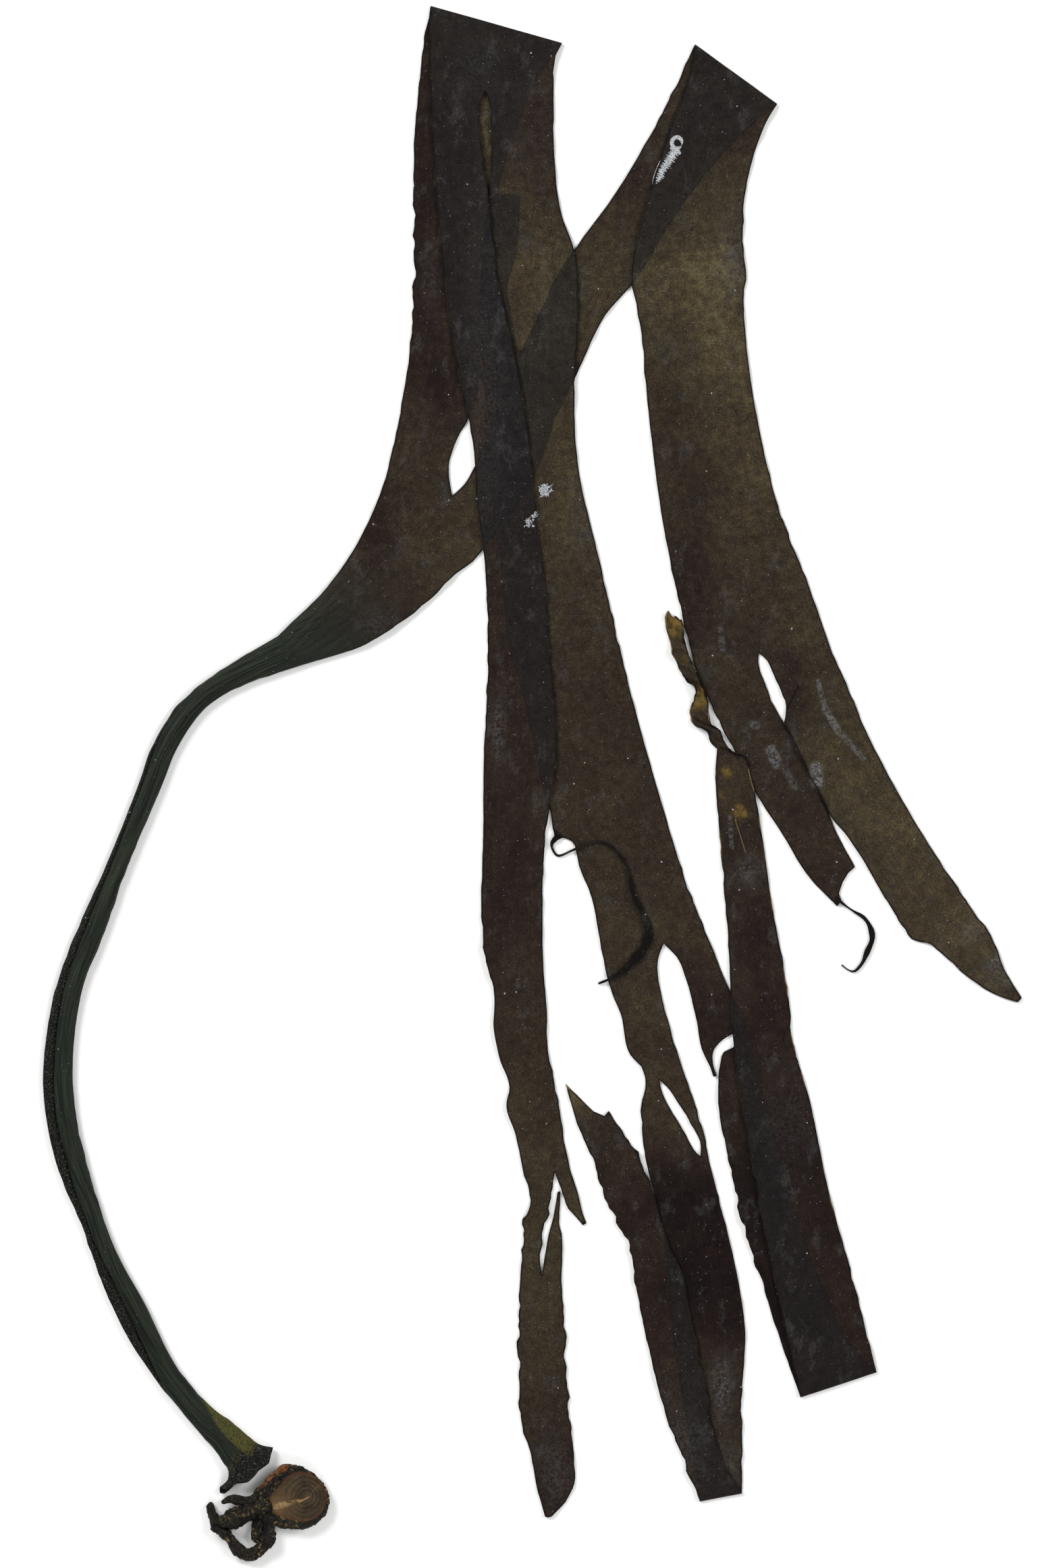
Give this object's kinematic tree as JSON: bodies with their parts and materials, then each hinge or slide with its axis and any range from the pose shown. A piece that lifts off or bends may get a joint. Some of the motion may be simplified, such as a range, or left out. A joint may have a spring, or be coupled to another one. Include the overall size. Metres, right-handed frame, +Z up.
{
  "type": "pressed kelp specimen",
  "caption": "Pressed, dried kelp lying flat: a long curved stipe, a folded blade split into overlapping straps with torn ends, and a sliced holdfast beside the cut foot.",
  "frame": {"origin": "middle of the specimen's footprint, on the surface that it lies on", "axes": "+X across the specimen to the side away from the stipe, +Y along the blade towards its upper folds, +Z up from the surface"},
  "size_m": [0.25, 0.397, 0.0047],
  "materials": {
    "dried_blade": "dried, leathery, dull satin, olive to purplish brown, darker where it is doubled",
    "dried_holdfast": "dried, rough, near-black bark and a brown ringed cut face"
  },
  "bodies": {
    "root": {"thallus": "dried_blade", "holdfast": "dried_holdfast"}
  },
  "joints": []
}
